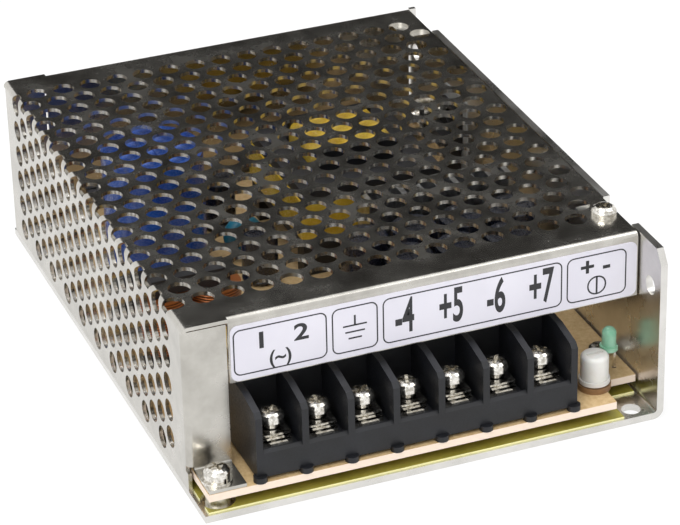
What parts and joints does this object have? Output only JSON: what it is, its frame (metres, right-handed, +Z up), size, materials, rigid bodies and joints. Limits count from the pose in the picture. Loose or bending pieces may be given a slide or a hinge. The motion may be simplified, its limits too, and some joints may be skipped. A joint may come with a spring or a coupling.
{
  "type": "enclosed switching power supply",
  "caption": "Enclosed mains power supply in a folded perforated metal case, with a barrier terminal block, voltage trimmer and status lamp at its open front end.",
  "frame": {"origin": "centre of the footprint on the underside of the chassis base", "axes": "+X points out of the solid chassis wall on the right as seen from the terminal end, -Y points out of the terminal end, +Z points up out of the cover's top"},
  "size_m": [0.098, 0.129, 0.0399],
  "materials": {
    "label_film": "satin printed film",
    "chassis_sheet": "bright zinc-plated sheet steel",
    "cover_sheet": "zinc-plated sheet steel",
    "insulation_film": "translucent yellow-green film",
    "board_laminate": "bare paper laminate with dark print",
    "standoff_brass": "plated",
    "plated_steel": "bright nickel plate",
    "block_plastic": "moulded, fine texture",
    "phenolic": "satin",
    "knob_plastic": "smooth",
    "lamp_resin": "clear green resin",
    "blue_sleeve": "shrink sleeve",
    "black_sleeve": "shrink sleeve",
    "ferrite": "sintered",
    "yellow_tape": "polyester tape",
    "copper_wire": "enamelled",
    "yellow_box": "moulded",
    "disc_coating": "dipped",
    "thermistor_coating": "dipped",
    "fuse_ceramic": "ceramic tube",
    "package_epoxy": "moulded",
    "silicone_pad": "soft",
    "sink_aluminium": "extruded",
    "core_coating": "coated"
  },
  "bodies": {
    "housing": {"chassis": "chassis_sheet", "cover": "cover_sheet", "terminal_label": "label_film", "insulation_sheet": "insulation_film", "circuit_board": "board_laminate", "board_standoffs": "standoff_brass", "board_screws": "plated_steel", "ground_screw": "plated_steel", "ground_lock_washer": "plated_steel", "ground_flat_washer": "plated_steel", "cover_screw": "plated_steel", "terminal_block": "block_plastic", "terminal_plates": "plated_steel", "trimmer_base": "phenolic", "status_led": "lamp_resin", "led_leads": "plated_steel", "bulk_capacitor": "blue_sleeve", "transformer_core": "ferrite", "transformer_bobbin": "block_plastic", "transformer_winding": "yellow_tape", "transformer_tape": "yellow_tape", "line_choke_core": "ferrite", "line_choke_windings": "copper_wire", "x_capacitor": "yellow_box", "y_capacitors": "disc_coating", "inrush_thermistor": "thermistor_coating", "line_fuse": "fuse_ceramic", "bridge_rectifier": "package_epoxy", "switching_transistor": "package_epoxy", "transistor_pad": "silicone_pad", "transistor_clamp": "plated_steel", "clamp_bar_screw": "plated_steel", "rectifier_heatsink": "sink_aluminium", "output_rectifiers": "package_epoxy", "output_capacitors": "black_sleeve", "output_choke_core": "core_coating", "output_choke_winding": "copper_wire", "optocouplers": "package_epoxy", "auxiliary_capacitors": "black_sleeve"},
    "clamp_1": {"clamp_1": "plated_steel"},
    "terminal_screw_1": {"terminal_screw_1": "plated_steel"},
    "clamp_2": {"clamp_2": "plated_steel"},
    "terminal_screw_2": {"terminal_screw_2": "plated_steel"},
    "clamp_3": {"clamp_3": "plated_steel"},
    "terminal_screw_3": {"terminal_screw_3": "plated_steel"},
    "clamp_4": {"clamp_4": "plated_steel"},
    "terminal_screw_4": {"terminal_screw_4": "plated_steel"},
    "clamp_5": {"clamp_5": "plated_steel"},
    "terminal_screw_5": {"terminal_screw_5": "plated_steel"},
    "clamp_6": {"clamp_6": "plated_steel"},
    "terminal_screw_6": {"terminal_screw_6": "plated_steel"},
    "clamp_7": {"clamp_7": "plated_steel"},
    "terminal_screw_7": {"terminal_screw_7": "plated_steel"},
    "trimmer_knob": {"trimmer_knob": "knob_plastic"}
  },
  "joints": [
    {"name": "clamp_1_lift", "type": "slide", "parent": "housing", "child": "clamp_1", "axis": [0, 0, 1], "range_m": [0, 0.003]},
    {"name": "terminal_screw_1_turn", "type": "hinge", "parent": "clamp_1", "child": "terminal_screw_1", "pos_m": [-0.03214, -0.0564, 0.0151], "axis": [0, 0, 1], "range_deg": [0, 2160]},
    {"name": "clamp_2_lift", "type": "slide", "parent": "housing", "child": "clamp_2", "axis": [0, 0, 1], "range_m": [0, 0.003]},
    {"name": "terminal_screw_2_turn", "type": "hinge", "parent": "clamp_2", "child": "terminal_screw_2", "pos_m": [-0.02261, -0.0564, 0.0151], "axis": [0, 0, 1], "range_deg": [0, 2160]},
    {"name": "clamp_3_lift", "type": "slide", "parent": "housing", "child": "clamp_3", "axis": [0, 0, 1], "range_m": [0, 0.003]},
    {"name": "terminal_screw_3_turn", "type": "hinge", "parent": "clamp_3", "child": "terminal_screw_3", "pos_m": [-0.01309, -0.0564, 0.0151], "axis": [0, 0, 1], "range_deg": [0, 2160]},
    {"name": "clamp_4_lift", "type": "slide", "parent": "housing", "child": "clamp_4", "axis": [0, 0, 1], "range_m": [0, 0.003]},
    {"name": "terminal_screw_4_turn", "type": "hinge", "parent": "clamp_4", "child": "terminal_screw_4", "pos_m": [-0.00356, -0.0564, 0.0151], "axis": [0, 0, 1], "range_deg": [0, 2160]},
    {"name": "clamp_5_lift", "type": "slide", "parent": "housing", "child": "clamp_5", "axis": [0, 0, 1], "range_m": [0, 0.003]},
    {"name": "terminal_screw_5_turn", "type": "hinge", "parent": "clamp_5", "child": "terminal_screw_5", "pos_m": [0.00596, -0.0564, 0.0151], "axis": [0, 0, 1], "range_deg": [0, 2160]},
    {"name": "clamp_6_lift", "type": "slide", "parent": "housing", "child": "clamp_6", "axis": [0, 0, 1], "range_m": [0, 0.003]},
    {"name": "terminal_screw_6_turn", "type": "hinge", "parent": "clamp_6", "child": "terminal_screw_6", "pos_m": [0.01549, -0.0564, 0.0151], "axis": [0, 0, 1], "range_deg": [0, 2160]},
    {"name": "clamp_7_lift", "type": "slide", "parent": "housing", "child": "clamp_7", "axis": [0, 0, 1], "range_m": [0, 0.003]},
    {"name": "terminal_screw_7_turn", "type": "hinge", "parent": "clamp_7", "child": "terminal_screw_7", "pos_m": [0.02501, -0.0564, 0.0151], "axis": [0, 0, 1], "range_deg": [0, 2160]},
    {"name": "trimmer_turn", "type": "hinge", "parent": "housing", "child": "trimmer_knob", "pos_m": [0.0373, -0.0565, 0.0056], "axis": [0, 0, 1], "range_deg": [-135, 135]}
  ],
  "couplings": [
    {"joint": "terminal_screw_1_turn", "follows": "clamp_1_lift", "rad_per_m": 12566},
    {"joint": "terminal_screw_2_turn", "follows": "clamp_2_lift", "rad_per_m": 12566},
    {"joint": "terminal_screw_3_turn", "follows": "clamp_3_lift", "rad_per_m": 12566},
    {"joint": "terminal_screw_4_turn", "follows": "clamp_4_lift", "rad_per_m": 12566},
    {"joint": "terminal_screw_5_turn", "follows": "clamp_5_lift", "rad_per_m": 12566},
    {"joint": "terminal_screw_6_turn", "follows": "clamp_6_lift", "rad_per_m": 12566},
    {"joint": "terminal_screw_7_turn", "follows": "clamp_7_lift", "rad_per_m": 12566}
  ]
}
